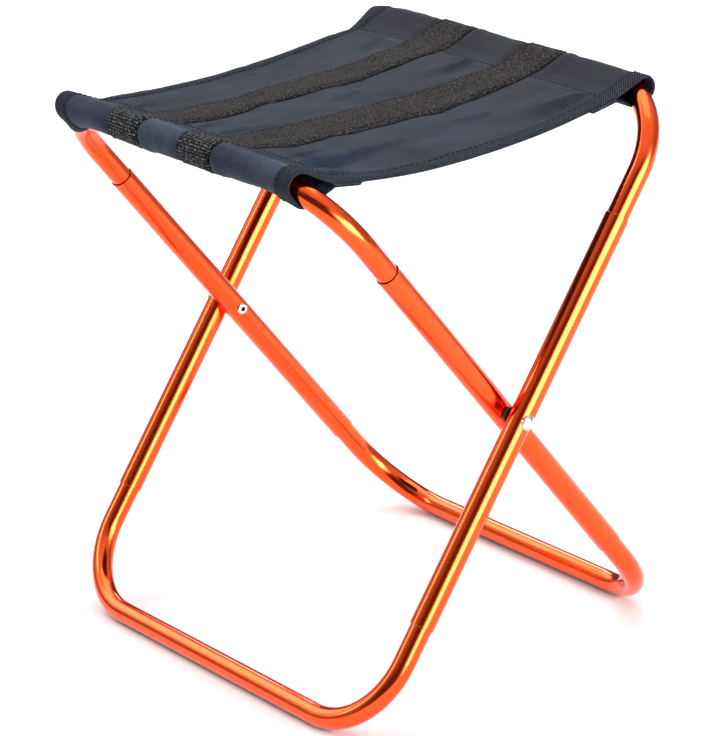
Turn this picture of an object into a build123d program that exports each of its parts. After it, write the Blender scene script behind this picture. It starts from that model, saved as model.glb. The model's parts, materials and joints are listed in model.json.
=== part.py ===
from build123d import *
import math
import os

# Folding camp stool: two crossing tube frames riveted at the sides, with a sewn cloth seat.
# Millimetres, +Z up. X runs from the inner frame's seat bar (-X) to the outer frame's (+X).
# Y is along the pivots. The origin is on the floor, under the middle of the open stool.

# --- driving dimensions -------------------------------------------------------------------
PIVOT_HEIGHT = 136.6      # of the rivets' centre line above the floor, open
INNER_LEG_UP = 164.8      # pivot to the inner frame's seat bar, along the leg
INNER_LEG_DOWN = 162.0    # pivot to the inner frame's floor bar
INNER_HALF_WIDTH = 106.5  # middle of the stool to an inner leg's centre line
OUTER_LEG_UP = 168.5
OUTER_LEG_DOWN = 166.0
OUTER_HALF_WIDTH = 120.0

LEG_OD = 12.0             # straight leg tubes
LEG_ID = 10.84
LEG_TUBE_UP = 106.0       # pivot to the upper end of a leg tube
LEG_TUBE_DOWN = 107.5     # pivot to the lower end of a leg tube
LEG_MOUTH = 0.38          # a leg tube's end is opened out by this much, radially
LEG_MOUTH_DEPTH = 1.0
BOW_OD = 10.8             # bent tubes that plug into the legs
BOW_WALL = 1.1
BOW_BEND = 40.0           # centre-line radius of their bends
PLUG_DEPTH = 25.0         # length of bent tube hidden in each leg end

CRIMP_R = 1.3             # dents that hold a bent tube in its leg
CRIMP_DEPTH = 0.35
CRIMP_INSET = 7.0         # from the leg tube's end

RIVET_SHANK = 4.0
RIVET_BORE = 2.4
RIVET_HEAD_R = 3.7
RIVET_HEAD_H = 1.7
RIVET_ROLL_R = 2.9
RIVET_ROLL_H = 1.0
PIN_CLEARANCE = 0.05      # radial, rivet in the inner leg's hole
WASHER_R = 4.6
GAP = 0.05                # between flat faces that turn on each other

SEAT_SAG = 5.0            # of the cloth's middle, below the seat bars' centre lines
SEAT_LEFT = (97.5, 106.0)     # cloth's +Y edge at the inner and the outer seat bar
SEAT_RIGHT = (-92.0, -99.5)   # cloth's -Y edge at the same places
CLOTH = 1.0               # cloth thickness
SLEEVE_DEPTH = 23.0       # of the sleeve's ends, below the seat bar's centre line
SLEEVE_FIT = 0.4          # cloth's clearance round the seat bar
SEAM_INSET = 19.0         # seat bar's centre line to the sleeve's seam
BODY_GAP = 0.4            # panel to the sleeve that moves away from it
LAYER_GAP = 0.08          # between layers of cloth, tape and webbing
TAPE = 0.7                # edge binding's thickness
TAPE_WIDTH = 10.0
WEB = 1.3                 # webbing's thickness
WEB_WIDTH = 25.0
WEB_LEFT = (40.0, 40.5)       # left strap's centre at the inner and the outer seat bar
WEB_RIGHT = (-17.5, -27.5)    # right strap's centre at the same places

# --- derived ------------------------------------------------------------------------------
INNER, OUTER = -1, 1      # side of the stool, along X, that each frame's seat bar is on
BOW_R = BOW_OD / 2
LEG_R = LEG_OD / 2
SLEEVE_R = BOW_R + SLEEVE_FIT + CLOTH
SEAM_R = CLOTH + 0.2
FROM_BELOW = (Align.CENTER, Align.CENTER, Align.MIN)

UP = {INNER: INNER_LEG_UP, OUTER: OUTER_LEG_UP}
DOWN = {INNER: INNER_LEG_DOWN, OUTER: OUTER_LEG_DOWN}
HALF_WIDTH = {INNER: INNER_HALF_WIDTH, OUTER: OUTER_HALF_WIDTH}
COS = {side: (PIVOT_HEIGHT - BOW_R) / DOWN[side] for side in (INNER, OUTER)}
SIN = {side: math.sqrt(1 - COS[side] ** 2) for side in (INNER, OUTER)}

FLOOR_REACH = OUTER_LEG_DOWN * SIN[OUTER] + BOW_R
SEAT_REACH = OUTER_LEG_UP * SIN[OUTER] + SLEEVE_R + WEB
PIVOT_X = (FLOOR_REACH - SEAT_REACH) / 2
BAR_X = {side: PIVOT_X + side * UP[side] * SIN[side] for side in (INNER, OUTER)}
BAR_Z = {side: PIVOT_HEIGHT + UP[side] * COS[side] for side in (INNER, OUTER)}

MID_X = (BAR_X[INNER] + BAR_X[OUTER]) / 2
MID_Z = (BAR_Z[INNER] + BAR_Z[OUTER]) / 2
HALF_SPAN = (BAR_X[OUTER] - BAR_X[INNER]) / 2
SEAT_ARC = (HALF_SPAN ** 2 + SEAT_SAG ** 2) / (2 * SEAT_SAG)
ARC_CENTRE_Z = MID_Z - SEAT_SAG + SEAT_ARC
SEAM_REACH = HALF_SPAN - SEAM_INSET
SEAM_Z = ARC_CENTRE_Z - math.sqrt(SEAT_ARC ** 2 - SEAM_REACH ** 2)

os.makedirs("parts", exist_ok=True)


def write(name, shape):
    shape.label = name
    export_step(shape, "parts/" + name + ".step")


def frame_plane(side):
    """Local x is the stool's Y, local y runs up the frame's legs from the pivot."""
    return Plane(origin=(PIVOT_X, 0, PIVOT_HEIGHT), x_dir=(0, 1, 0), z_dir=(COS[side], 0, -side * SIN[side]))


def along_leg(radius, half_width, low, high):
    """A rod on a leg's centre line, in a frame's plane."""
    return Pos(half_width, low, 0) * Rot(-90, 0, 0) * Cylinder(radius, high - low, align=FROM_BELOW)


# --- tubes --------------------------------------------------------------------------------
def bow_path(half_width, end, start):
    """The centre line of a bent tube: out along one leg, across, and back down the other."""
    corners = [(half_width, start, 0), (half_width, end, 0), (-half_width, end, 0), (-half_width, start, 0)]
    return FilletPolyline(*corners, radius=BOW_BEND)


def pipe(path, radius):
    section = Plane(origin=path @ 0, z_dir=path % 0) * Circle(radius)
    return sweep(section, path=path)


def bow(half_width, end, start):
    path = bow_path(half_width, end, start)
    return pipe(path, BOW_R) - pipe(path, BOW_R - BOW_WALL)


def leg_mouth(half_width, level, outward):
    """The cone that opens out a leg tube's end."""
    wide = LEG_ID / 2 + LEG_MOUTH
    cone = Cone(LEG_ID / 2, wide, LEG_MOUTH_DEPTH, align=(Align.CENTER, Align.CENTER, Align.MAX))
    return Pos(half_width, level, 0) * Rot(-90 * outward, 0, 0) * cone


def leg_tube(half_width, pin_radius):
    """One straight leg tube, with its rivet hole, opened ends and crimp dents."""
    tube = along_leg(LEG_R, half_width, -LEG_TUBE_DOWN, LEG_TUBE_UP)
    tube = chamfer(tube.edges().filter_by(GeomType.CIRCLE), 0.15)
    tube -= along_leg(LEG_ID / 2, half_width, -LEG_TUBE_DOWN, LEG_TUBE_UP)
    tube -= Pos(half_width, 0, 0) * Rot(0, 90, 0) * Cylinder(pin_radius, 2 * LEG_OD)
    for end, outward in ((LEG_TUBE_UP, 1), (-LEG_TUBE_DOWN, -1)):
        tube -= leg_mouth(half_width, end, outward)
        dent = Pos(half_width, end - outward * CRIMP_INSET, LEG_R + CRIMP_R - CRIMP_DEPTH)
        tube -= dent * Sphere(CRIMP_R)
    return tube


for frame, side, pin in (
    ("inner", INNER, RIVET_SHANK / 2 + PIN_CLEARANCE),
    ("outer", OUTER, RIVET_SHANK / 2 + 0.01),
):
    plane = frame_plane(side)
    width = HALF_WIDTH[side]
    write(frame + "_leg_left", plane * leg_tube(width, pin))
    write(frame + "_leg_right", plane * leg_tube(-width, pin))
    write(frame + "_top_tube", plane * bow(width, UP[side], LEG_TUBE_UP - PLUG_DEPTH))
    write(frame + "_floor_tube", plane * bow(width, -DOWN[side], PLUG_DEPTH - LEG_TUBE_DOWN))


# --- pivots -------------------------------------------------------------------------------
def pivot_rivet():
    """A tubular rivet's rolled shank and its domed head, along +Z from the inner leg outwards."""
    roll_start = INNER_HALF_WIDTH - LEG_R - GAP - RIVET_ROLL_H
    roll = Pos(0, 0, roll_start) * Cylinder(RIVET_ROLL_R, RIVET_ROLL_H, align=FROM_BELOW)
    roll = fillet(roll.edges().filter_by(GeomType.CIRCLE).sort_by(Axis.Z)[0], RIVET_ROLL_H * 0.8)
    crest = OUTER_HALF_WIDTH + LEG_R
    shank_length = crest + 0.5 - roll_start
    shank = Pos(0, 0, roll_start) * Cylinder(RIVET_SHANK / 2, shank_length, align=FROM_BELOW)
    bore = Pos(0, 0, roll_start) * Cylinder(RIVET_BORE / 2, shank_length - 3, align=FROM_BELOW)
    ball = (RIVET_HEAD_R ** 2 + RIVET_HEAD_H ** 2) / (2 * RIVET_HEAD_H)
    head = Pos(0, 0, crest + RIVET_HEAD_H - ball) * Sphere(ball)
    skirt = 1.1
    head &= Pos(0, 0, crest - skirt) * Cylinder(RIVET_HEAD_R, 2 * RIVET_HEAD_H + skirt, align=FROM_BELOW)
    return roll + shank - bore, head


def washer():
    thickness = OUTER_HALF_WIDTH - INNER_HALF_WIDTH - LEG_OD - 2 * GAP
    disc = Cylinder(WASHER_R, thickness, align=FROM_BELOW)
    hole = Cylinder(RIVET_SHANK / 2 + PIN_CLEARANCE, thickness, align=FROM_BELOW)
    return Pos(0, 0, INNER_HALF_WIDTH + LEG_R + GAP) * (disc - hole)


for hand, name in ((1, "left"), (-1, "right")):
    at_pivot = Pos(PIVOT_X, 0, PIVOT_HEIGHT) * Rot(-90 * hand, 0, 0)
    shank, head = pivot_rivet()
    leg_rod = frame_plane(OUTER) * along_leg(LEG_R + 0.01, hand * OUTER_HALF_WIDTH, -40, 40)
    write("pivot_rivet_" + name, at_pivot * shank + (at_pivot * head - leg_rod))
    write("pivot_washer_" + name, at_pivot * washer())


# --- seat ---------------------------------------------------------------------------------
def teardrop(side, bar_radius, seam_radius, low, high):
    """The sleeve's outline, pulled from a round bar to its seam, between two values of Y."""
    bar = Pos(BAR_X[side], BAR_Z[side]) * Circle(bar_radius)
    seam = Pos(MID_X + side * SEAM_REACH, SEAM_Z) * Circle(seam_radius)
    profile = make_hull((bar + seam).edges())
    return Pos(0, high, 0) * extrude(Plane.XZ * profile, high - low)


def sleeve_outline(side, bar_radius, seam_radius, low, high):
    """The teardrop, let down at its ends over the seat bar's bends."""
    width, top, depth = HALF_WIDTH[side], UP[side], bar_radius - 0.03
    shape = teardrop(side, bar_radius, seam_radius, low, high)
    room = Box(400, high - low, 2 * SLEEVE_DEPTH, align=(Align.CENTER, Align.MIN, Align.CENTER))
    room = Pos(0, low, BAR_Z[side]) * room
    bar = frame_plane(side) * pipe(bow_path(width, top, top - 1.5 * BOW_BEND), depth)
    shape += bar & room
    for hand in (-1, 1):
        centre = Pos(hand * (width - BOW_BEND), top - BOW_BEND)
        corner = Rectangle(BOW_BEND, BOW_BEND, align=(Align.MIN if hand > 0 else Align.MAX, Align.MIN))
        web = Pos(0, 0, -depth + 0.02) * extrude(centre * (corner - Circle(BOW_BEND)), 2 * depth - 0.04)
        shape += (frame_plane(side) * web) & room
    return shape


def moved(line, by):
    return line[0] + by, line[1] + by


def plan(right, left):
    """A tall block between two lines of the seat's plan, each given by its Y at the seat bars."""
    inner, outer = -HALF_SPAN, HALF_SPAN
    corners = [(inner, right[0]), (outer, right[1]), (outer, left[1]), (inner, left[0])]
    return Pos(MID_X, 0, MID_Z - 60) * extrude(make_face(Polyline(*corners, close=True)), 120)


def seat_sheet(above, below, right, left, reach):
    """A sagging strip of the seat between two depths from the cloth's middle surface."""
    rim = Pos(MID_X, ARC_CENTRE_Z) * (Circle(SEAT_ARC + below) - Circle(SEAT_ARC - above))
    window = Pos(MID_X, MID_Z - SEAT_SAG) * Rectangle(2 * reach, 60)
    strip = Pos(0, 130, 0) * extrude(Plane.XZ * (rim & window), 260)
    return strip & plan(right, left)


half_slot = CLOTH / 2 + LAYER_GAP
panel_slot = seat_sheet(half_slot, half_slot, moved(SEAT_RIGHT, -1), moved(SEAT_LEFT, 1), SEAM_REACH)
for end, (frame, side) in enumerate((("inner", INNER), ("outer", OUTER))):
    right, left = SEAT_RIGHT[end], SEAT_LEFT[end]
    skin = sleeve_outline(side, SLEEVE_R, SEAM_R, right, left)
    lining = sleeve_outline(side, SLEEVE_R - CLOTH, SEAM_R - CLOTH + 0.1, right - 1, left + 1)
    write("sleeve_" + frame, skin - lining)

    rings = []
    for low, high in ((right, right + TAPE_WIDTH), (left - TAPE_WIDTH, left)):
        over = sleeve_outline(side, SLEEVE_R + LAYER_GAP + TAPE, SEAM_R + LAYER_GAP + TAPE, low, high)
        under = sleeve_outline(side, SLEEVE_R + LAYER_GAP, SEAM_R + LAYER_GAP, low - 1, high + 1)
        rings.append(over - under - panel_slot)
    write("sleeve_cuffs_" + frame, rings[0] + rings[1])

    loops = []
    for web in (WEB_LEFT, WEB_RIGHT):
        low, high = web[end] - WEB_WIDTH / 2, web[end] + WEB_WIDTH / 2
        over = teardrop(side, SLEEVE_R + WEB, SEAM_R + WEB, low, high)
        under = teardrop(side, SLEEVE_R + LAYER_GAP, SEAM_R + LAYER_GAP, low - 1, high + 1)
        loops.append(over - under - panel_slot)
    write("strap_loops_" + frame, loops[0] + loops[1])

panel_reach = SEAM_REACH - SEAM_R - BODY_GAP
write("seat_panel", seat_sheet(CLOTH / 2, CLOTH / 2, SEAT_RIGHT, SEAT_LEFT, panel_reach))

tape_reach = panel_reach - TAPE - 0.1
slot_right, slot_left = moved(SEAT_RIGHT, -LAYER_GAP), moved(SEAT_LEFT, LAYER_GAP)
slot = seat_sheet(half_slot, half_slot, slot_right, slot_left, panel_reach)
for name, right, left in (
    ("left", moved(SEAT_LEFT, -TAPE_WIDTH), moved(SEAT_LEFT, TAPE)),
    ("right", moved(SEAT_RIGHT, -TAPE), moved(SEAT_RIGHT, TAPE_WIDTH)),
):
    around = seat_sheet(CLOTH / 2 + TAPE, CLOTH / 2 + TAPE, right, left, tape_reach)
    write("edge_binding_" + name, around - slot)

web_reach = panel_reach - WEB - 0.1
for name, web in (("left", WEB_LEFT), ("right", WEB_RIGHT)):
    right, left = moved(web, -WEB_WIDTH / 2), moved(web, WEB_WIDTH / 2)
    write("seat_strap_" + name, seat_sheet(half_slot + WEB, -half_slot, right, left, web_reach))
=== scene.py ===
import json
import math

import bpy
import numpy as np
from mathutils import Matrix, Vector
from mathutils.geometry import convex_hull_2d

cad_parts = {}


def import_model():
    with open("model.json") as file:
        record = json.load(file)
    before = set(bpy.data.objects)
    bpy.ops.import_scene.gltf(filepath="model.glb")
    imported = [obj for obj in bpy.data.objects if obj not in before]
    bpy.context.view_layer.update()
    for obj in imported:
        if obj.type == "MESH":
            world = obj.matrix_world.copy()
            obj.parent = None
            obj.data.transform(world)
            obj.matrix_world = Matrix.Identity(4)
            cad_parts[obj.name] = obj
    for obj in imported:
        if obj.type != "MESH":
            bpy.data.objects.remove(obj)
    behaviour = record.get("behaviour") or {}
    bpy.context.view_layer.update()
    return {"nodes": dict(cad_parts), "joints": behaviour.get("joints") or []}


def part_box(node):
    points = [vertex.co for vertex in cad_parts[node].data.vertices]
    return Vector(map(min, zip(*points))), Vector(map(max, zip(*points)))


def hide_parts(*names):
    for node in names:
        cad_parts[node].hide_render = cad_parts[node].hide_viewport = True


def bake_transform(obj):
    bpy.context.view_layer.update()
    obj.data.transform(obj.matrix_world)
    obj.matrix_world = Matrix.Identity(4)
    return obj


# Looks for the folding camp stool: one sewn cloth seat with its bindings, straps and stitches,
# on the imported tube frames. Shapes are worked out in millimetres and written in metres.

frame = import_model()
MM = 0.001

# --- where the frame is -------------------------------------------------------------------
# Sizes in mm. Side -1 is the inner seat bar, at -X, and side 1 is the outer one.
BOW_R = 5.4                     # seat bar's radius
BEND_R = 40.0                   # centre-line radius of its bends
CLOTH_R = {-1: 6.55, 1: 5.9}    # cloth's middle surface round each seat bar
CLOTH_THICK = 0.5
SEAM_INSET = 19.0               # bar's centre line to the sleeve's seam
HEM_INSET = 33.0                # bar's centre line to the end of the hem under the panel
HEM_GAP = 1.2                   # panel's middle surface to the hem's
EDGE_LEFT = (97.5, 106.0)       # cloth's +Y edge at the inner and the outer bar
EDGE_RIGHT = (-92.0, -99.5)     # cloth's -Y edge at the same places
STRAP_LEFT = (40.0, 40.5)       # strap's centre at the same places
STRAP_RIGHT = (-17.5, -27.5)
STRAP_WIDTH = 25.0
STRAP_ASKEW = 3.8               # how far a strap goes sideways under the inner sleeve
TAPE_WIDTH = 9.6
STITCH, STITCH_PITCH = 2.4, 3.3  # a stitch's length, and its length with the gap after it

joint = frame["joints"][0]
pivot_x, pivot_z = joint["pos_m"][0] / MM, joint["pos_m"][2] / MM
FOLD_RANGE = 60.0               # degrees from open to folded


def bar_of(node, side):
    """A seat bar's centre (x, z), its half width and the unit vector down its legs."""
    low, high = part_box(node)
    x = (low.x if side < 0 else high.x) / MM - side * BOW_R
    z = high.z / MM - BOW_R
    down = np.array([pivot_x - x, pivot_z - z])
    return np.array([x, z]), high.y / MM - BOW_R, down / np.linalg.norm(down)


BARS = {-1: bar_of("inner_top_tube", -1), 1: bar_of("outer_top_tube", 1)}
mid_x = (BARS[-1][0][0] + BARS[1][0][0]) / 2
mid_z = (BARS[-1][0][1] + BARS[1][0][1]) / 2
half_span = (BARS[1][0][0] - BARS[-1][0][0]) / 2


def between(pair, x):
    """A value that goes in a straight line from the inner bar's to the outer bar's."""
    t = np.clip((x - BARS[-1][0][0]) / (2 * half_span), 0, 1)
    return pair[0] + (pair[1] - pair[0]) * t


# --- noise and creases --------------------------------------------------------------------
def value_noise(u, v, seed):
    """Smooth noise from -1 to 1, one cell per unit."""
    table = np.random.RandomState(seed).uniform(-1, 1, (64, 64))
    iu, iv = np.floor(u).astype(int), np.floor(v).astype(int)
    fu, fv = u - iu, v - iv
    fu, fv = fu * fu * (3 - 2 * fu), fv * fv * (3 - 2 * fv)
    a, b = table[iu % 64, iv % 64], table[(iu + 1) % 64, iv % 64]
    c, d = table[iu % 64, (iv + 1) % 64], table[(iu + 1) % 64, (iv + 1) % 64]
    return (a * (1 - fu) + b * fu) * (1 - fv) + (c * (1 - fu) + d * fu) * fv


def smooth(t):
    """0 below 0, 1 above 1, and an S-curve between them."""
    t = np.clip(t, 0, 1)
    return t * t * (3 - 2 * t)


def crease(x, y, start, end, width, height):
    """A soft ridge (or valley, if height is negative) between two points of the seat's plan."""
    start, end = np.array(start, float), np.array(end, float)
    run = end - start
    t = np.clip(((x - start[0]) * run[0] + (y - start[1]) * run[1]) / (run @ run), 0, 1)
    away = np.hypot(x - start[0] - t * run[0], y - start[1] - t * run[1])
    spread = width * (0.55 + 0.9 * t)
    return height * np.exp(-((away / spread) ** 2)) * (1 - 0.75 * t) * smooth(1.5 - 1.4 * t)


# --- the cloth's shape --------------------------------------------------------------------
# Points along the cloth's section for each hem, each sleeve and the panel, and points across it.
N_HEM, N_SLEEVE, N_PANEL, N_ACROSS = 9, 56, 120, 164
# The seat bars bend down at their ends. At each corner (bar's side, end's side): how much of
# that drop the sleeve's top and its seam take. Its lower side takes UNDER_DROP everywhere.
TOP_DROP = {(-1, -1): 0.06, (-1, 1): 0.08, (1, -1): 0.0, (1, 1): 0.28}
SEAM_DROP = {(-1, -1): 0.28, (-1, 1): 0.15, (1, -1): 0.0, (1, 1): 0.45}
UNDER_DROP = 0.88


def sheet_height(x, y):
    """The panel's middle surface: taut along its middle, and slacker towards its side edges."""
    u = np.clip(np.abs(x - mid_x) / (half_span - SEAM_INSET), 0, 1)
    slack = 2.0 + 4.2 * np.clip(np.abs(y - 22) / 78, 0, 1.1) ** 1.3
    slack += 2.6 * smooth((-45 - y) / 40) * np.clip(0.5 - 0.9 * (x - mid_x) / half_span, -0.4, 1)
    slack += 0.3 * smooth((y - 55) / 35)
    return mid_z - 1.1 - slack * (1 - u ** 2.2)


def bar_drop(side, y):
    """How far down its legs the seat bar's centre line is at y."""
    past = np.clip(abs(y) - (BARS[side][1] - BEND_R), 0, BEND_R * 0.98)
    return BEND_R - math.sqrt(BEND_R ** 2 - past ** 2)


def resample(points, count):
    """The same line with count points, evenly spaced."""
    steps = np.linalg.norm(np.diff(points, axis=0), axis=1)
    along = np.concatenate([[0], np.cumsum(steps)])
    want = np.linspace(0, along[-1], count)
    return np.column_stack([np.interp(want, along, points[:, k]) for k in (0, 1)])


def seam_point(side, y):
    """The sleeve's seam at y, as (x, z)."""
    x = BARS[side][0][0] - side * SEAM_INSET
    return np.array([x, sheet_height(x, y) - SEAM_DROP[side, 1 if y > 0 else -1] * bar_drop(side, y)])


def sleeve_loop(side, y):
    """Round the seat bar from the seam's underside to its top side, as (x, z) points."""
    centre, _, down = BARS[side]
    drop, seam = bar_drop(side, y), seam_point(side, y)
    turn = np.linspace(0, 2 * math.pi, 72, endpoint=False)
    ring = np.column_stack([np.cos(turn), np.sin(turn)]) * CLOTH_R[side]
    high = centre + down * drop * TOP_DROP[side, 1 if y > 0 else -1]
    points = np.vstack([seam, centre + down * drop * UNDER_DROP + ring, high + ring])
    order = convex_hull_2d([tuple(p) for p in points])
    order = order[order.index(0):] + order[:order.index(0)]
    loop = np.vstack([points[order], seam])
    if loop[1, 1] > loop[-2, 1]:
        loop = loop[::-1]
    loop = resample(loop, N_SLEEVE)
    from_seam = np.minimum(np.arange(N_SLEEVE), np.arange(N_SLEEVE)[::-1])
    loop[:, 1] += np.linspace(-0.5, 0.5, N_SLEEVE) * smooth(1 - from_seam / 6)
    return loop


def cloth_row(y):
    """The whole sheet's cross-section at y, from the inner hem's end to the outer hem's end."""
    sides, seams = [], []
    for side in (-1, 1):
        loop, seam = sleeve_loop(side, y), seam_point(side, y)
        xs = np.linspace(BARS[side][0][0] - side * HEM_INSET, seam[0], N_HEM, endpoint=False)
        t = np.linspace(0, 1, N_HEM)
        fall = seam[1] - sheet_height(seam[0], y)
        hem = sheet_height(xs, y) - HEM_GAP + fall * t + 0.7 * smooth(4 * t - 3)
        sides.append(np.vstack([np.column_stack([xs, hem]), loop]))
        seams.append(seam)
    xs = np.linspace(seams[0][0], seams[1][0], N_PANEL + 2)[1:-1]
    zs = sheet_height(xs, y)
    t = (xs - seams[0][0]) / (seams[1][0] - seams[0][0])
    for seam, share in ((seams[0], t), (seams[1], 1 - t)):
        zs += (seam[1] + 0.5 - sheet_height(seam[0], y)) * np.exp(-share * 9)
    return np.vstack([sides[0], np.column_stack([xs, zs]), sides[1][::-1]])


SEAM_IN, SEAM_OUT = N_HEM + N_SLEEVE - 1, N_HEM + N_SLEEVE + N_PANEL
nominal = np.linspace(min(EDGE_RIGHT) - 2, max(EDGE_LEFT) + 2, N_ACROSS)
sections = np.array([cloth_row(y) for y in nominal])
N_ALONG = sections.shape[1]

# The sleeves' undersides are cut back where the bars leave them.
lowness = np.zeros(N_ALONG)
share = np.linspace(0, 1, N_SLEEVE)
under = smooth(share / 0.18) * smooth((0.72 - share) / 0.4)
lowness[N_HEM:N_HEM + N_SLEEVE] = under
lowness[SEAM_OUT:SEAM_OUT + N_SLEEVE] = under[::-1]
plan_x = sections[:, :, 0].mean(axis=0)
cut_back = np.where(plan_x < mid_x, 5.0, 2.0) * lowness
ROW_LEFT = between(EDGE_LEFT, plan_x) - cut_back
ROW_RIGHT = between(EDGE_RIGHT, plan_x) + np.where(plan_x < mid_x, 0.4, 0.3) * cut_back
GRID = np.zeros((N_ALONG, N_ACROSS, 3))
for i in range(N_ALONG):
    ys = np.linspace(ROW_RIGHT[i], ROW_LEFT[i], N_ACROSS)
    GRID[i, :, 1] = ys
    for axis, k in ((0, 0), (2, 1)):
        GRID[i, :, axis] = np.interp(ys, nominal, sections[:, i, k])


def normals_of(grid):
    """Unit normals of a grid of points, on the cloth's outer side."""
    along = np.gradient(grid, axis=0)
    across = np.gradient(grid, axis=1)
    n = np.cross(along, across)
    return n / np.maximum(np.linalg.norm(n, axis=2, keepdims=True), 1e-9)


# Distance along the cloth from the seat's middle, in mm: negative towards the inner bar.
middle_col = GRID[:, N_ACROSS // 2]
steps = np.linalg.norm(np.diff(middle_col, axis=0), axis=1)
ALONG = np.concatenate([[0], np.cumsum(steps)])
ALONG -= np.interp((SEAM_IN + SEAM_OUT) / 2, np.arange(N_ALONG), ALONG)


def strap_line(strap, i):
    """A strap's centre at profile index i: it goes a little askew round the inner sleeve."""
    askew = STRAP_ASKEW * smooth(1.0 - (i - N_HEM) / (0.8 * N_SLEEVE))
    return between(strap, np.interp(i, np.arange(N_ALONG), plan_x)) - askew


# Folds in the seat, most of them from the near end of the inner sleeve: each one's start, end,
# width and height. X is from the seat's middle. A negative height is a valley.
FOLDS = (
    ((-80, -66), (2, -52), 3.4, 1.7),
    ((-80, -72), (-26, -66), 2.8, -0.9),
    ((-79, -56), (-30, -34), 3.2, 0.9),
    ((-80, -80), (-40, -84), 3.0, 0.9),
    ((-79, 2), (-40, -2), 3.0, 0.8),
    ((-79, 14), (-30, 20), 3.4, 0.8),
    ((-79, 66), (-30, 72), 4.0, 0.8),
    ((-79, 84), (-44, 80), 3.5, 0.6),
    ((80, -82), (36, -68), 4.0, 0.8),
    ((80, 2), (34, 8), 4.5, 0.9),
    ((80, 72), (40, 66), 4.5, 0.7),
    ((34, -58), (-20, -46), 5.0, 0.7),
    ((10, 10), (-34, 4), 4.5, 0.7),
    ((20, 76), (-24, 82), 5.0, 0.7),
)


def wrinkles(grid):
    """How far the cloth stands proud of its smooth shape, in mm."""
    x, y = grid[:, :, 0] - mid_x, grid[:, :, 1]
    s = np.repeat(ALONG[:, None], N_ACROSS, axis=1)
    index = np.arange(N_ALONG)[:, None]
    on_panel = smooth((index - SEAM_IN) / 6.0) * smooth((SEAM_OUT - index) / 6.0)
    on_sleeve = np.zeros_like(s)
    for start, stop in ((N_HEM, SEAM_IN), (SEAM_OUT, N_ALONG - N_HEM)):
        t = (index - start) / (stop - start)
        on_sleeve += np.where((t > 0) & (t < 1), np.sin(np.pi * np.clip(t, 0, 1)) ** 0.6, 0)
    out = 0.95 * value_noise(s / 29 + 3, y / 22, 5) * on_panel
    out += 0.55 * value_noise(s / 12 + y / 40, y / 12, 7) * on_panel
    out += 0.13 * value_noise(s / 5, y / 6, 8) * on_panel
    out += on_sleeve * (0.30 * value_noise(s / 9, y / 17, 9) + 0.18 * value_noise(s / 5, y / 7, 10))
    # Gathers that run out from each seam.
    for end, seed in ((SEAM_IN, 11), (SEAM_OUT, 12)):
        reach = np.exp(-np.abs(s - ALONG[end]) / 15) * on_panel
        out += 0.7 * reach * value_noise(y / 8.5, s / 60, seed)
    # The cloth stands up between the straps, and is pulled down beside them.
    right, left = between(EDGE_RIGHT, grid[:, :, 0]), between(EDGE_LEFT, grid[:, :, 0])
    lines = [right + 8]
    for strap in (STRAP_RIGHT, STRAP_LEFT):
        middle = strap_line(strap, index)
        lines += [middle - STRAP_WIDTH / 2, middle + STRAP_WIDTH / 2]
        for hand, depth in ((-1, 1.1), (1, 0.4)):
            away = (y - middle) * hand - STRAP_WIDTH / 2
            groove = np.exp(-(((away - 0.6) / 1.2) ** 2))
            out -= groove * depth * (0.7 * on_panel + 0.9 * on_sleeve)
            out += on_sleeve * (0.8 if hand < 0 else 0.2) * np.exp(-(((away - 5.0) / 4.0) ** 2))
    lines.append(left - 8)
    for k in (0, 2, 4):
        puff = np.sin(np.pi * np.clip((y - lines[k]) / (lines[k + 1] - lines[k]), 0, 1))
        out += on_panel * 0.9 * puff ** 1.5 + on_sleeve * 0.45 * np.sqrt(puff)
    for start, end, width, height in FOLDS:
        out += 1.9 * crease(x, y, start, end, width, height) * on_panel
    rim = np.minimum(y - right, left - y)
    return out * smooth(0.15 + rim / 14)


SMOOTH = GRID.copy()
GRID = GRID + normals_of(GRID) * wrinkles(GRID)[:, :, None]
NORMALS = normals_of(GRID)


def on_seat(i, y, lift=0.0):
    """A point of the cloth at profile index i and height lift above it, beyond its edges too."""
    i = np.clip(np.asarray(i, float), 0, N_ALONG - 1)
    low, high = (np.interp(i, np.arange(N_ALONG), rows) for rows in (ROW_RIGHT, ROW_LEFT))
    inside = np.clip(y, low, high)
    column = np.clip((inside - low) / (high - low) * (N_ACROSS - 1), 0, N_ACROSS - 1.001)
    j, i0 = column.astype(int), np.minimum(i.astype(int), N_ALONG - 2)
    fj, fi = (column - j)[..., None], (i - i0)[..., None]

    def mixed(g):
        near = g[i0, j] * (1 - fj) + g[i0, j + 1] * fj
        far = g[i0 + 1, j] * (1 - fj) + g[i0 + 1, j + 1] * fj
        return near * (1 - fi) + far * fi

    n = mixed(NORMALS)
    point = mixed(GRID) + n / np.linalg.norm(n, axis=-1, keepdims=True) * np.asarray(lift)[..., None]
    point[..., 1] += y - inside
    return point


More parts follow.
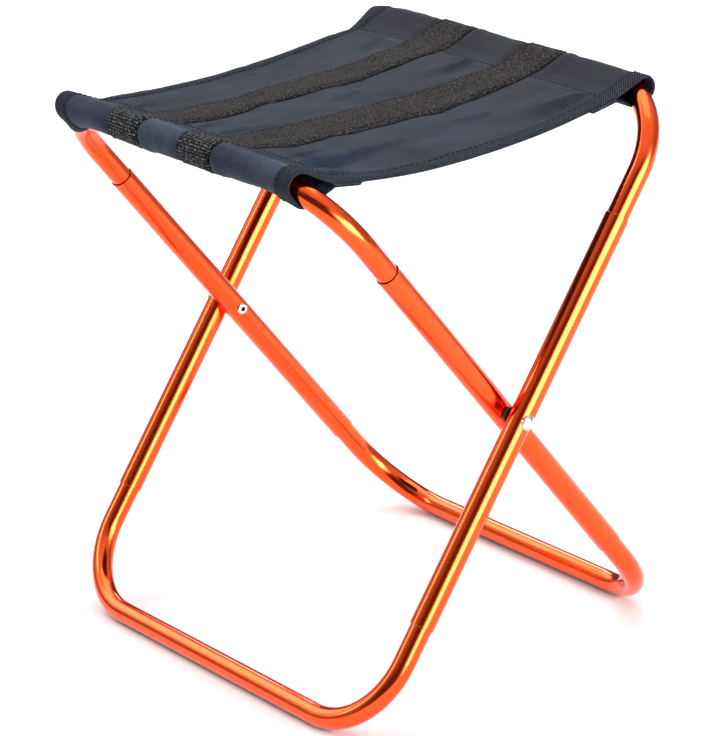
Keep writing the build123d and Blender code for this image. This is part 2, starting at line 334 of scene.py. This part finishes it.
# --- meshes -------------------------------------------------------------------------------
def follow_weights(points, along):
    """How far each point follows the outer frame. The panel hangs in a narrow loop when folded."""
    phi = np.degrees(np.arctan2(points[:, 0] - pivot_x, points[:, 2] - pivot_z))
    seam = {}
    for side, end in ((-1, SEAM_IN), (1, SEAM_OUT)):
        p = SMOOTH[end, N_ACROSS // 2]
        seam[side] = math.degrees(math.atan2(p[0] - pivot_x, p[2] - pivot_z))
    middle = (seam[1] + seam[-1]) / 2
    reach = (seam[1] - seam[-1]) / 2
    u = np.clip((phi - middle) / reach, -1, 1)
    bulge = 4.2 * np.sin(np.pi * np.abs(u)) * np.abs(u) ** 0.2
    folded = np.sign(u) * ((reach - FOLD_RANGE / 2) * np.abs(u) ** 0.5 + bulge)
    weight = 0.5 + (u * reach - folded) / FOLD_RANGE
    sleeve_in = (along < ALONG[SEAM_IN] - 0.01) & (along > ALONG[N_HEM] + 0.01)
    sleeve_out = (along > ALONG[SEAM_OUT] + 0.01) & (along < ALONG[N_ALONG - N_HEM - 1] - 0.01)
    weight[sleeve_in] = 0.0
    weight[sleeve_out] = 1.0
    return np.clip(weight, 0, 1)


def make_mesh(name, points, faces, uv=None, material=None, smooth_faces=True):
    """An object from points in mm. uv has one pair for each point."""
    mesh = bpy.data.meshes.new(name)
    mesh.from_pydata([tuple(p) for p in np.asarray(points) * MM], [], faces)
    if uv is not None:
        layer = mesh.uv_layers.new(name="UVMap")
        corners = np.zeros(len(mesh.loops), np.int32)
        mesh.loops.foreach_get("vertex_index", corners)
        layer.data.foreach_set("uv", np.asarray(uv)[corners].astype(np.float32).ravel())
    mesh.polygons.foreach_set("use_smooth", [smooth_faces] * len(mesh.polygons))
    mesh.update()
    obj = bpy.data.objects.new(name, mesh)
    bpy.context.scene.collection.objects.link(obj)
    if material:
        obj.data.materials.append(material)
    return obj


def hang(obj, along):
    """Works out, for a seat piece between the two frames, how far each point follows the outer frame, by how
    far along the cloth it is. The weights aren't applied, so nothing bends.
    """
    points = np.array([v.co for v in obj.data.vertices]) / MM
    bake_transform(obj)
    weights = follow_weights(points, np.asarray(along, float))


def grid_faces(rows, cols, wrap=False, offset=0):
    """Quads over a grid of points. wrap joins each row's last point to its first."""
    faces = []
    for i in range(rows - 1):
        for j in range(cols if wrap else cols - 1):
            k = (j + 1) % cols
            faces.append((offset + i * cols + j, offset + (i + 1) * cols + j,
                          offset + (i + 1) * cols + k, offset + i * cols + k))
    return faces


# --- materials ----------------------------------------------------------------------------
class Nodes:
    """A short way to build a material's node tree."""

    def __init__(self, name):
        self.material = bpy.data.materials.new(name)
        self.material.use_nodes = True
        self.tree = self.material.node_tree
        self.bsdf = self.tree.nodes["Principled BSDF"]

    def node(self, kind, inputs=None, **settings):
        made = self.tree.nodes.new(kind)
        for key, value in settings.items():
            setattr(made, key, value)
        for key, value in (inputs or {}).items():
            self.put(made.inputs[key], value)
        return made

    def put(self, socket, value):
        if isinstance(value, bpy.types.NodeSocket):
            self.tree.links.new(value, socket)
        else:
            socket.default_value = value

    def math(self, operation, a, b=0.0, clamp=False):
        made = self.node("ShaderNodeMath", {0: a, 1: b}, operation=operation, use_clamp=clamp)
        return made.outputs[0]

    def mix(self, factor, a, b):
        made = self.node("ShaderNodeMix", data_type="RGBA")
        self.put(made.inputs[0], factor)
        self.put(made.inputs[6], a)
        self.put(made.inputs[7], b)
        return made.outputs[2]

    def ramp(self, value, stops):
        made = self.node("ShaderNodeValToRGB", {0: value})
        elements = made.color_ramp.elements
        while len(elements) < len(stops):
            elements.new(0.5)
        for element, (place, colour) in zip(elements, stops):
            element.position, element.color = place, colour
        return made.outputs[0]

    def noise(self, vector, scale, detail=2.0, roughness=0.5):
        inputs = {"Vector": vector, "Scale": scale, "Detail": detail, "Roughness": roughness}
        return self.node("ShaderNodeTexNoise", inputs).outputs[0]

    def place(self, scale=(1, 1, 1), kind="Object"):
        coords = self.node("ShaderNodeTexCoord").outputs[kind]
        return self.node("ShaderNodeMapping", {"Vector": coords, "Scale": scale}).outputs[0]

    def bump(self, height, distance, strength=1.0, before=None):
        made = self.node("ShaderNodeBump", {"Height": height, "Distance": distance, "Strength": strength})
        if before is not None:
            self.put(made.inputs["Normal"], before)
        return made.outputs[0]

    def finish(self, **sockets):
        for key, value in sockets.items():
            self.put(self.bsdf.inputs[key.replace("_", " ")], value)
        return self.material


def rgb(r, g, b):
    """A linear colour from screen values of 0 to 255."""
    linear = [(c / 255 / 12.92) if c <= 10 else ((c / 255 + 0.055) / 1.055) ** 2.4 for c in (r, g, b)]
    return (*linear, 1.0)


def anodised():
    m = Nodes("anodised_orange")
    where = m.place((1000, 1000, 1000))
    cloud = m.noise(where, 0.035, 3.0)
    fine = m.noise(where, 3.2, 4.0, 0.6)
    colour = m.mix(cloud, (1.0, 0.080, 0.005, 1), (1.0, 0.100, 0.010, 1))
    # Painted shade: ambient occlusion within 1.8 mm darkens the orange to dark brown in crevices, such as
    # the mouths of the tube joints.
    open_air = m.node("ShaderNodeAmbientOcclusion", {"Distance": 0.0018}, samples=8).outputs["AO"]
    seen = m.ramp(open_air, [(0.30, (0, 0, 0, 1)), (0.72, (1, 1, 1, 1))])
    colour = m.mix(seen, (0.06, 0.006, 0.001, 1), colour)
    rough = m.math("ADD", m.math("MULTIPLY", fine, 0.08), 0.12)
    normal = m.bump(fine, 0.00002, 0.35)
    return m.finish(Base_Color=colour, Metallic=1.0, Roughness=rough, Normal=normal,
                    Coat_Weight=0.45, Coat_Roughness=0.07)


def rivet_metal():
    m = Nodes("rivet_metal")
    where = m.place((1000, 1000, 1000))
    fine = m.noise(where, 2.5, 4.0, 0.6)
    colour = m.mix(fine, (0.62, 0.62, 0.64, 1), (0.86, 0.86, 0.87, 1))
    rough = m.math("ADD", m.math("MULTIPLY", fine, 0.2), 0.14)
    return m.finish(Base_Color=colour, Metallic=1.0, Roughness=rough, Normal=m.bump(fine, 0.00004, 0.5))


def nylon():
    m = Nodes("washer_nylon")
    fine = m.noise(m.place((1000, 1000, 1000)), 2.0, 3.0)
    return m.finish(Base_Color=m.mix(fine, (0.02, 0.02, 0.02, 1), (0.045, 0.045, 0.045, 1)), Roughness=0.5,
                    Normal=m.bump(fine, 0.00003, 0.4))


def woven(m, pitch_u, pitch_v):
    """Threads over and under each other, from 0 in the gaps to 1 on the crowns. UVs are in mm."""
    uv = m.place((1 / pitch_u, 1 / pitch_v, 1), kind="UV")
    part = m.node("ShaderNodeSeparateXYZ", {0: uv})
    waves = []
    for axis in (0, 1):
        phase = m.math("MULTIPLY", part.outputs[axis], math.pi)
        waves.append(m.math("SINE", phase))
    squares = [m.math("MULTIPLY", w, w) for w in waves]
    crossing = m.math("MULTIPLY", waves[0], waves[1])
    high = m.math("MULTIPLY", m.math("ADD", squares[0], squares[1]), 0.5)
    over = m.math("MULTIPLY", m.math("ABSOLUTE", crossing), 0.25)
    return m.math("ADD", m.math("MULTIPLY", high, 0.75), over)


def on_inner_bar(m, run):
    """1 round the inner seat bar and 0 on the panel. run is the distance along the cloth, in mm."""
    before_seam = m.math("SUBTRACT", float(ALONG[SEAM_IN]) - 5.0, run)
    return m.math("MULTIPLY", before_seam, 0.09, clamp=True)


def seat_cloth():
    m = Nodes("seat_cloth")
    weave = woven(m, 0.55, 0.55)
    where = m.place((1000, 1000, 1000))
    cloud = m.noise(where, 0.026, 4.0, 0.6)
    cloud = m.ramp(cloud, [(0.36, (0, 0, 0, 1)), (0.64, (1, 1, 1, 1))])
    grain = m.noise(where, 1.9, 3.0, 0.75)
    part = m.node("ShaderNodeSeparateXYZ", {0: m.node("ShaderNodeTexCoord").outputs["Object"]})
    toward_outer = m.ramp(m.math("ADD", m.math("MULTIPLY", part.outputs[0], 6.0), 0.45, clamp=True),
                          [(0.0, (0, 0, 0, 1)), (0.5, (0.35, 0.35, 0.35, 1)), (1.0, (1, 1, 1, 1))])
    slate = m.mix(cloud, rgb(20, 26, 40), rgb(40, 52, 72))
    dusk = m.mix(cloud, rgb(23, 24, 36), rgb(33, 37, 44))
    run = m.node("ShaderNodeSeparateXYZ", {0: m.place((1, 1, 1), kind="UV")}).outputs[0]
    colour = m.mix(toward_outer, slate, dusk)
    # Painted light: the cloth round the inner seat bar is given a lighter blue, standing in for the light
    # that falls on that sleeve.
    painted_light_inner_sleeve = m.mix(cloud, rgb(40, 48, 64), rgb(66, 76, 96))
    colour = m.mix(on_inner_bar(m, run), colour, painted_light_inner_sleeve)
    speck = m.math("ADD", m.math("MULTIPLY", grain, 0.6), m.math("MULTIPLY", weave, 0.4))
    crowns = m.ramp(speck, [(0.34, (0, 0, 0, 1)), (0.68, (1, 1, 1, 1))])
    dark, light = m.mix(0.68, colour, (0, 0, 0, 1)), m.mix(0.05, colour, (0.45, 0.5, 0.6, 1))
    colour = m.mix(crowns, dark, light)
    normal = m.bump(weave, 0.00008, 0.5, m.bump(grain, 0.00012, 0.35))
    return m.finish(Base_Color=colour, Roughness=m.math("ADD", m.math("MULTIPLY", grain, 0.2), 0.38),
                    Normal=normal, Specular_IOR_Level=0.035)


def webbing():
    m = Nodes("webbing")
    weave = woven(m, 1.3, 0.9)
    where = m.place((1000, 1000, 1000))
    fleck = m.noise(where, 0.95, 3.0, 0.75)
    level = m.math("MULTIPLY", fleck, m.math("ADD", m.math("MULTIPLY", weave, 0.5), 0.7))
    flat = m.ramp(level, [(0.36, rgb(16, 16, 20)), (0.52, rgb(32, 29, 30)), (0.72, rgb(112, 104, 98))])
    # Painted shade and painted highlight: round the inner bar the webbing is darker in its low parts and
    # brighter in its flecks, a shaded and lit copy of the same webbing.
    loop = m.ramp(level, [(0.42, rgb(8, 8, 10)), (0.55, rgb(34, 35, 40)), (0.70, rgb(150, 150, 152))])
    run = m.node("ShaderNodeSeparateXYZ", {0: m.place((1, 1, 1), kind="UV")}).outputs[0]
    lit = m.mix(on_inner_bar(m, run), flat, loop)
    normal = m.bump(weave, 0.0003, 0.8, m.bump(fleck, 0.0002, 0.5))
    return m.finish(Base_Color=lit, Roughness=0.78, Normal=normal, Specular_IOR_Level=0.12)


def binding():
    m = Nodes("binding_tape")
    uv = m.place((1, 1, 1), kind="UV")
    part = m.node("ShaderNodeSeparateXYZ", {0: uv})
    slant = m.math("ADD", m.math("MULTIPLY", part.outputs[0], 4.4), m.math("MULTIPLY", part.outputs[1], 4.0))
    rib = m.math("ADD", m.math("MULTIPLY", m.math("SINE", slant), 0.5), 0.5)
    weave = woven(m, 0.9, 0.7)
    high = m.math("MULTIPLY", m.math("ADD", rib, weave), 0.5)
    fine = m.noise(m.place((1000, 1000, 1000)), 1.7, 3.0, 0.75)
    level = m.math("ADD", m.math("MULTIPLY", high, 0.4), m.math("MULTIPLY", fine, 0.6))
    colour = m.ramp(level, [(0.36, rgb(6, 7, 10)), (0.52, rgb(20, 23, 32)), (0.68, rgb(70, 78, 94))])
    return m.finish(Base_Color=colour, Roughness=0.72, Specular_IOR_Level=0.1,
                    Normal=m.bump(level, 0.00035, 0.9))


def thread():
    m = Nodes("stitching")
    uv = m.place((1, 1, 1), kind="UV")
    twist = m.node("ShaderNodeTexWave", {"Vector": uv, "Scale": 1.6, "Distortion": 0.5})
    colour = m.mix(twist.outputs[0], rgb(16, 18, 25), rgb(32, 36, 46))
    return m.finish(Base_Color=colour, Roughness=0.7, Specular_IOR_Level=0.1,
                    Normal=m.bump(twist.outputs[0], 0.00005, 0.5))


ORANGE, CLOTH, WEB, TAPE, THREAD = anodised(), seat_cloth(), webbing(), binding(), thread()
RIVET, NYLON = rivet_metal(), nylon()
for name, node in frame["nodes"].items():
    material = ORANGE if name.endswith("tube") or "_leg_" in name else NYLON
    if "rivet" in name:
        material = RIVET
    node.data.materials.clear()
    node.data.materials.append(material)


# --- seat pieces --------------------------------------------------------------------------
def build_cloth():
    """The one sheet of cloth, from hem to hem."""
    points = GRID.reshape(-1, 3)
    uv = np.column_stack([np.repeat(ALONG, N_ACROSS), points[:, 1]])
    obj = make_mesh("seat_cloth", points, grid_faces(N_ALONG, N_ACROSS), uv, CLOTH)
    thick = obj.modifiers.new("thickness", "SOLIDIFY")
    thick.thickness, thick.offset = CLOTH_THICK * MM, 0.0
    hang(obj, np.repeat(ALONG, N_ACROSS))
    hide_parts("seat_panel", "sleeve_inner", "sleeve_outer")
    return obj


def strip(name, indices, section, centre_of, material):
    """A band along the cloth: section is (distance across, lift) pairs round the band.

    centre_of gives, at a profile index, the band's y, which way across counts, and extra lifts.
    Returns the object and how far along the cloth each of its points is.
    """
    count = len(section)
    points, uv, along = [], [], []
    girth = np.concatenate([[0], np.cumsum(np.linalg.norm(np.diff(section, axis=0), axis=1))])
    for i in indices:
        centre, hand, lifts = centre_of(i)
        y = np.array([centre + hand * across for across, _ in section])
        lift = np.array([height for _, height in section]) + lifts(i, section)
        points.append(on_seat(np.full(count, float(i)), y, lift))
        s = np.interp(i, np.arange(N_ALONG), ALONG)
        uv += [(s, g) for g in girth]
        along += [s] * count
    faces = grid_faces(len(indices), count, wrap=True)
    last = (len(indices) - 1) * count
    faces += [tuple(range(count))[::-1], tuple(range(last, last + count))]
    obj = make_mesh(name, np.vstack(points), faces, uv, material)
    return obj, along


def build_strap(name, strap, replaced):
    """A webbing strap from hem to hem, over the seat and round both sleeves."""
    half = STRAP_WIDTH / 2
    top = [(-half + 0.25, 0.95), (-half + 0.9, 1.2)]
    top += [(a, 1.25 + 0.05 * math.cos(a)) for a in np.linspace(-half + 2.2, half - 2.2, 9)]
    top += [(half - 0.9, 1.2), (half - 0.25, 0.95)]
    section = [(-half, 0.35), (-half - 0.02, 0.7), *top, (half + 0.02, 0.7), (half, 0.35),
               (half - 0.6, 0.1), (0.0, 0.1), (-half + 0.6, 0.1)]

    def centre_of(i):
        wave = 0.35 * math.sin(i * 0.11 + strap[0])
        return strap_line(strap, i) + wave, 1, lambda *_: 0.0

    obj, along = strip(name, np.arange(2, N_ALONG - 2, 1.0), section, centre_of, WEB)
    hang(obj, along)
    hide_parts(*replaced)
    return obj


def build_binding(name, edge, hand, replaced):
    """A tape folded over the cloth's edge. hand points inwards, away from the edge."""
    section = [(TAPE_WIDTH, 0.05), (TAPE_WIDTH - 0.1, 0.55), (TAPE_WIDTH - 0.9, 0.85), (6.5, 0.9),
               (4.0, 0.95), (1.6, 0.95), (0.3, 0.9), (-0.45, 0.65), (-0.8, 0.25), (-0.85, -0.2),
               (-0.6, -0.65), (0.1, -0.85), (1.6, -0.8), (4.0, -0.8), (6.6, -0.8), (7.2, -0.55),
               (7.2, -0.05)]

    def lifts(i, pairs):
        s = np.interp(i, np.arange(N_ALONG), ALONG)
        wave = 0.18 * value_noise(np.array(s / 6.0), np.array(float(hand)), 21)
        under = 0.0
        for side, end in ((-1, SEAM_IN), (1, SEAM_OUT)):
            inward = -side * (s - ALONG[end])
            if -0.5 < inward:
                under += 1.5 * float(smooth(np.array((HEM_INSET - SEAM_INSET + 1.0 - inward) / 1.2)))
        return np.array([wave if h > 0 else -under * (1 if h < -0.3 else 0.5) for _, h in pairs])

    def centre_of(i):
        return edge[int(i)] + hand * 0.1 * math.sin(i * 0.23), hand, lifts

    obj, along = strip(name, np.arange(N_HEM + 1, N_ALONG - N_HEM - 1, 1.0), section, centre_of, TAPE)
    hang(obj, along)
    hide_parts(*replaced)
    return obj


def stitch_runs():
    """Where thread runs, as (profile indices, ys, lift): strap edges, bindings and seams."""
    runs = []
    index = np.arange(3, N_ALONG - 3, 0.25)
    for strap in (STRAP_LEFT, STRAP_RIGHT):
        for hand in (-1, 1):
            y = strap_line(strap, index) + hand * (STRAP_WIDTH / 2 - 1.8)
            runs.append((index, y, 1.25))
    index = np.arange(N_HEM + 2, N_ALONG - N_HEM - 2, 0.25)
    for edge, hand in ((ROW_LEFT, -1), (ROW_RIGHT, 1)):
        y = np.interp(index, np.arange(N_ALONG), edge) + hand * (TAPE_WIDTH - 1.7)
        runs.append((index, y, 0.95))
    for end, step in ((SEAM_IN, 1), (SEAM_OUT, -1)):
        y = np.arange(ROW_RIGHT[end] + 11, ROW_LEFT[end] - 11, 0.5)
        runs.append((np.full(len(y), end + step * 1.2), y, 0.35))
    return runs


def build_stitches():
    """Every stitch as a short thread that dips into the cloth at both ends."""
    turn = np.linspace(0, 2 * math.pi, 6, endpoint=False)
    # Along the stitch, in mm: the distance, the thread's radius and its rise.
    rings = ((0, 0.10, -0.22), (0.35, 0.22, -0.02), (STITCH / 2, 0.25, 0.08),
             (STITCH - 0.35, 0.22, -0.02), (STITCH, 0.10, -0.22))
    points, faces, along = [], [], []
    for i, y, lift in stitch_runs():
        line = on_seat(i, y, np.full(len(i), lift))
        dist = np.concatenate([[0], np.cumsum(np.linalg.norm(np.diff(line, axis=0), axis=1))])
        s = np.interp(i, np.arange(N_ALONG), ALONG)
        normal = on_seat(i, y, np.full(len(i), lift + 1.0)) - line
        for start in np.arange(0, dist[-1] - 3.0, STITCH_PITCH):
            first = len(points)
            for t, size, rise in rings:
                at = start + t
                p = np.array([np.interp(at, dist, line[:, c]) for c in range(3)])
                q = np.array([np.interp(at + 0.3, dist, line[:, c]) for c in range(3)])
                n = np.array([np.interp(at, dist, normal[:, c]) for c in range(3)])
                t_dir = (q - p) / max(np.linalg.norm(q - p), 1e-6)
                side = np.cross(t_dir, n)
                side /= max(np.linalg.norm(side), 1e-6)
                for a in turn:
                    points.append(p + n * (rise + size * math.sin(a)) + side * size * math.cos(a))
                    along.append(np.interp(at, dist, s))
            faces += grid_faces(5, 6, wrap=True, offset=first)
            faces += [tuple(first + np.arange(6))[::-1], tuple(first + 24 + np.arange(6))]
    faces = [tuple(int(v) for v in f) for f in faces]
    uv = [(a, p[1]) for a, p in zip(along, points)]
    obj = make_mesh("seat_stitches", np.array(points), faces, uv, THREAD)
    hang(obj, along)
    return obj


cloth = build_cloth()
straps = [build_strap("strap_left", STRAP_LEFT, ["seat_strap_left", "strap_loops_inner"]),
          build_strap("strap_right", STRAP_RIGHT, ["seat_strap_right", "strap_loops_outer"])]
tapes = [build_binding("binding_left", ROW_LEFT, -1, ["edge_binding_left", "sleeve_cuffs_inner"]),
         build_binding("binding_right", ROW_RIGHT, 1, ["edge_binding_right", "sleeve_cuffs_outer"])]
stitches = build_stitches()


# --- studio -------------------------------------------------------------------------------
def floor():
    """A wide pale disc just under the stool."""
    n, radius = 96, 9000.0
    turns = [2 * math.pi * k / n for k in range(n)]
    ring = [(radius * math.cos(turn), radius * math.sin(turn), -0.2) for turn in turns]
    m = Nodes("studio_floor")
    tone = m.noise(m.place((1, 1, 1)), 0.4, 2.0)
    m.finish(Base_Color=m.mix(tone, (0.86, 0.86, 0.86, 1), (0.90, 0.90, 0.90, 1)), Roughness=0.9)
    obj = make_mesh("floor", ring, [tuple(range(n))], material=m.material, smooth_faces=False)


def softbox(name, where, size, power, target=(0, 0, 0.15)):
    """A rectangular area light aimed at target. It lights and reflects, but isn't seen itself."""
    light = bpy.data.lights.new(name, "AREA")
    light.shape, light.size, light.size_y = "RECTANGLE", size[0], size[1]
    light.energy = power
    obj = bpy.data.objects.new(name, light)
    obj.location = where
    obj.rotation_euler = (Vector(target) - Vector(where)).to_track_quat("-Z", "Y").to_euler()
    bpy.context.scene.collection.objects.link(obj)
    obj.visible_camera = False


def world():
    """A pale room, darker on one side and brightest in front of the stool."""
    made = bpy.data.worlds.new("studio")
    bpy.context.scene.world = made
    made.use_nodes = True
    tree = made.node_tree

    def math_node(operation, a, b):
        node = tree.nodes.new("ShaderNodeMath")
        node.operation = operation
        for socket, value in zip(node.inputs, (a, b)):
            if isinstance(value, bpy.types.NodeSocket):
                tree.links.new(value, socket)
            else:
                socket.default_value = value
        return node.outputs[0]

    toward = tree.nodes.new("ShaderNodeTexCoord").outputs["Generated"]
    level = 0.42
    for direction, inner, outer, change in (
        ((0.0, 0.0, 1.0), 20, 75, 0.50),
        ((0.05, -1.0, 0.0), 8, 42, 2.4),
        ((-0.12, 0.75, 0.65), 8, 27, 3.0),
        ((0.56, 0.75, 0.30), 18, 48, -0.55),
        ((-0.56, -0.75, 0.36), 12, 36, -0.55),
        ((-0.95, -0.20, 0.45), 8, 38, -0.36),
    ):
        dot = tree.nodes.new("ShaderNodeVectorMath")
        dot.operation = "DOT_PRODUCT"
        tree.links.new(toward, dot.inputs[0])
        dot.inputs[1].default_value = Vector(direction).normalized()
        span = tree.nodes.new("ShaderNodeMapRange")
        span.interpolation_type = "SMOOTHSTEP"
        tree.links.new(dot.outputs["Value"], span.inputs["Value"])
        span.inputs["From Min"].default_value = math.cos(math.radians(outer))
        span.inputs["From Max"].default_value = math.cos(math.radians(inner))
        level = math_node("ADD", level, math_node("MULTIPLY", span.outputs[0], change))
    level = math_node("MAXIMUM", level, 0.10)
    path = tree.nodes.new("ShaderNodeLightPath")
    mix = tree.nodes.new("ShaderNodeMix")
    mix.data_type = "RGBA"
    tree.links.new(path.outputs["Is Camera Ray"], mix.inputs[0])
    tree.links.new(level, mix.inputs[6])
    mix.inputs[7].default_value = (1.0, 1.0, 1.0, 1)
    tree.links.new(mix.outputs[2], tree.nodes["Background"].inputs["Color"])
    tree.nodes["Background"].inputs["Strength"].default_value = 1.0


floor()
world()
softbox("top", (0.5, 0.5, 2.2), (1.9, 1.9), 24, target=(0, 0, 0))
softbox("front", (0.10, -2.2, 0.55), (1.8, 1.3), 60)
softbox("back", (1.15, 1.5, 1.15), (0.8, 0.5), 7, target=(0, 0, 0.2))
softbox("strip", (-1.4, 1.15, 1.25), (0.25, 1.2), 8)

scene = bpy.context.scene
scene.view_settings.view_transform = "Standard"
camera = bpy.data.objects.new("camera", bpy.data.cameras.new("camera"))
scene.collection.objects.link(camera)
camera.data.sensor_fit, camera.data.sensor_width, camera.data.lens = "HORIZONTAL", 36.0, 173.04
right = Vector((0.785948, -0.615128, -0.062478))
up = Vector((0.268437, 0.248450, 0.930706))
back = Vector((-0.556981, -0.748258, 0.360392))
turn = Matrix((right, up, back)).transposed()
camera.rotation_mode = "QUATERNION"
camera.rotation_quaternion = turn.to_quaternion()
camera.location = Vector((-0.953397 + pivot_x * MM, -1.278366, 0.746822))
camera.data.clip_end = 100
scene.camera = camera
